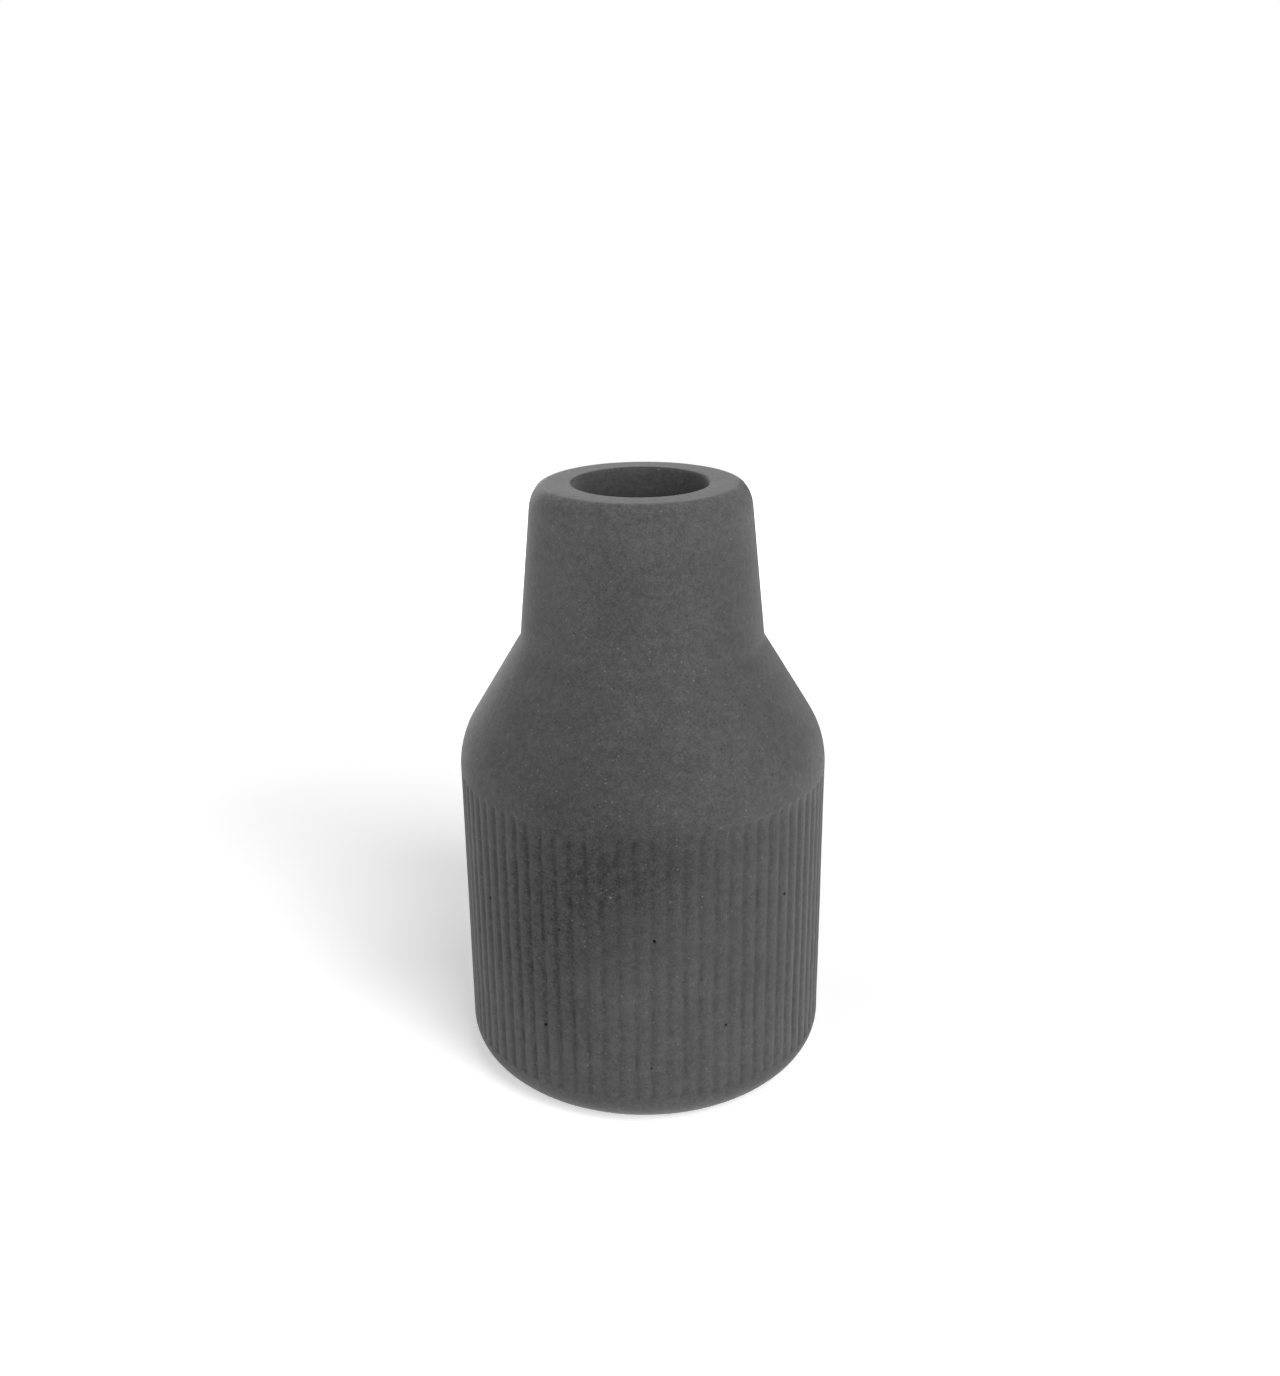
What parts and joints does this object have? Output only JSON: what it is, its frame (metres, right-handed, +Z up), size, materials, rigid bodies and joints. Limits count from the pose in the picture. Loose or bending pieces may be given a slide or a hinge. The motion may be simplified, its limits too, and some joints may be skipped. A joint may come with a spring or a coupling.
{
  "type": "vase",
  "caption": "Small stoneware vase with a ribbed cylindrical body, sloping shoulder, tapered neck and a thick flat lip around a round mouth.",
  "frame": {"origin": "centre of the foot, on the surface that the vase stands on", "axes": "+Z up along the vase's axis, -Y towards the viewer"},
  "size_m": [0.0804, 0.0804, 0.1318],
  "materials": {
    "stoneware": "dry matt grey stoneware, fine grain, light specks and dark pinholes",
    "glaze": "thin satin grey liner glaze"
  },
  "bodies": {
    "root": {"base_slab": "stoneware", "ribbed_wall": "stoneware", "shoulder": "stoneware", "neck": "stoneware", "lip_ring": "stoneware", "inner_glaze": "glaze"}
  },
  "joints": []
}
